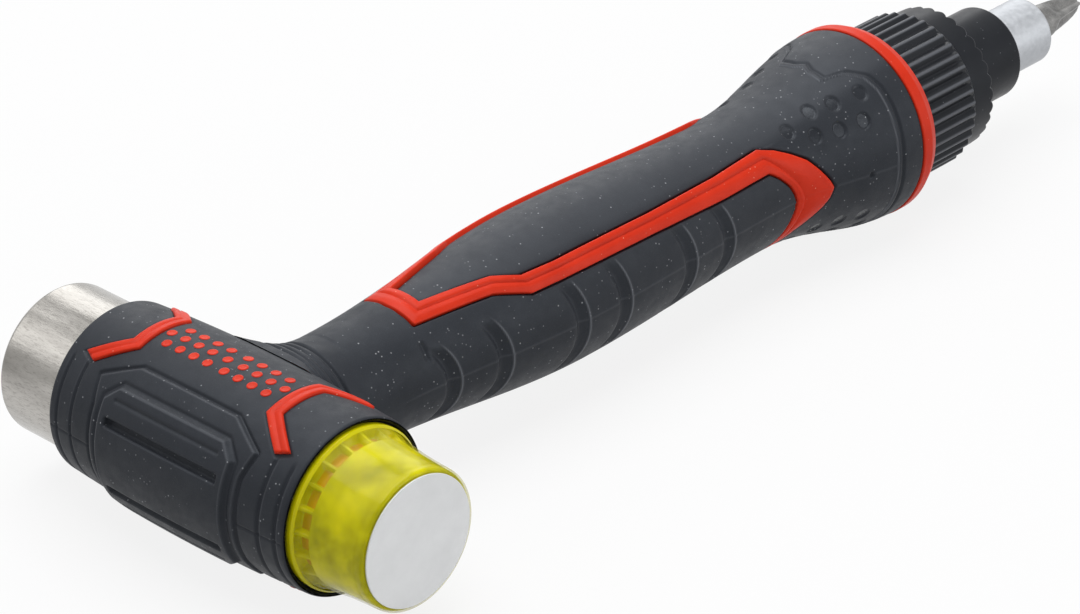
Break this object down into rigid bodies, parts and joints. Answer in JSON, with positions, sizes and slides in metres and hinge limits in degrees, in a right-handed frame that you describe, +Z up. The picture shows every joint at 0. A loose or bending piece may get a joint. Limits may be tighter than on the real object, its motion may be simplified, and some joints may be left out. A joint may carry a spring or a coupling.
{
  "type": "interchangeable head hammer",
  "caption": "Hammer with screw-in steel and clear plastic faces on a rubber-covered head, a rubber grip with red trim, and a reversible ratchet bit driver in the handle's end.",
  "frame": {"origin": "middle of the resting tool's footprint, at floor height", "axes": "+X along the handle from the head to the bit, +Y along the head towards the steel face, +Z up with the tool lying on its side"},
  "size_m": [0.2422, 0.0866, 0.0374],
  "materials": {
    "forged_steel": "forged",
    "black_rubber": "matte",
    "red_plastic": "satin",
    "bright_steel": "turned",
    "face_steel": "satin",
    "yellow_plastic": "clear gloss",
    "label_paper": "satin",
    "black_plastic": "satin gloss",
    "bronze": "sintered",
    "spring_steel": "bright",
    "satin_aluminium": "satin",
    "bit_steel": "hardened"
  },
  "bodies": {
    "hammer_body": {"head_block": "forged_steel", "head_cover": "black_rubber", "head_chevrons": "red_plastic", "head_dots": "red_plastic", "shaft_tube": "bright_steel", "shaft_pin": "bright_steel", "handle_core": "red_plastic", "handle_grip": "black_rubber", "upper_trim": "red_plastic", "lower_trim": "red_plastic", "front_hook_trim": "red_plastic", "rear_hook_trim": "red_plastic", "ratchet_housing": "black_plastic", "front_cap": "black_plastic", "bearing_bush": "bronze", "detent_spring": "spring_steel", "pawl_pins": "bright_steel", "left_pawl_spring": "spring_steel", "right_pawl_spring": "spring_steel"},
    "steel_face_carrier": {"steel_face_washer": "bright_steel"},
    "steel_face": {"steel_face": "face_steel"},
    "plastic_face_carrier": {"plastic_face_washer": "bright_steel"},
    "plastic_face": {"plastic_face": "yellow_plastic", "plastic_face_stud": "bright_steel", "face_label": "label_paper"},
    "direction_ring": {"selector_ring": "black_plastic"},
    "spindle": {"spindle": "bright_steel", "ratchet_gear": "forged_steel", "spindle_clip": "spring_steel", "thrust_washer": "bronze", "bit_sleeve": "satin_aluminium", "socket_magnet": "forged_steel", "bit_clip": "spring_steel"},
    "bit": {"screwdriver_bit": "bit_steel"},
    "left_pawl": {"left_pawl": "forged_steel"},
    "right_pawl": {"right_pawl": "forged_steel"}
  },
  "joints": [
    {"name": "steel_face_travel", "type": "slide", "parent": "hammer_body", "child": "steel_face_carrier", "axis": [0, 1, 0], "range_m": [0, 0.01051]},
    {"name": "steel_face_turn", "type": "hinge", "parent": "steel_face_carrier", "child": "steel_face", "pos_m": [-0.10385, 0.03, 0.0187], "axis": [0, 1, 0], "range_deg": [0, 2160]},
    {"name": "plastic_face_travel", "type": "slide", "parent": "hammer_body", "child": "plastic_face_carrier", "axis": [0, -1, 0], "range_m": [0, 0.01051]},
    {"name": "plastic_face_turn", "type": "hinge", "parent": "plastic_face_carrier", "child": "plastic_face", "pos_m": [-0.10385, -0.03, 0.0187], "axis": [0, -1, 0], "range_deg": [0, 2160]},
    {"name": "direction_ring_turn", "type": "hinge", "parent": "hammer_body", "child": "direction_ring", "pos_m": [0.06315, 0, 0.0187], "axis": [1, 0, 0], "range_deg": [-24, 24], "deforming": ["detent_spring"]},
    {"name": "spindle_turn", "type": "hinge", "parent": "hammer_body", "child": "spindle", "pos_m": [0.08615, 0, 0.0187], "axis": [1, 0, 0], "continuous": true},
    {"name": "bit_pull", "type": "slide", "parent": "spindle", "child": "bit", "axis": [1, 0, 0], "range_m": [0, 0.012]},
    {"name": "left_pawl_lift", "type": "hinge", "parent": "hammer_body", "child": "left_pawl", "pos_m": [0.06315, 0.0047, 0.02753], "axis": [1, 0, 0], "range_deg": [-7, 4], "deforming": ["left_pawl_spring"]},
    {"name": "right_pawl_lift", "type": "hinge", "parent": "hammer_body", "child": "right_pawl", "pos_m": [0.06315, -0.0047, 0.02753], "axis": [-1, 0, 0], "range_deg": [-7, 4], "deforming": ["right_pawl_spring"]}
  ],
  "couplings": [
    {"joint": "steel_face_travel", "follows": "steel_face_turn", "m_per_rad": 0.00027852},
    {"joint": "plastic_face_travel", "follows": "plastic_face_turn", "m_per_rad": 0.00027852}
  ]
}
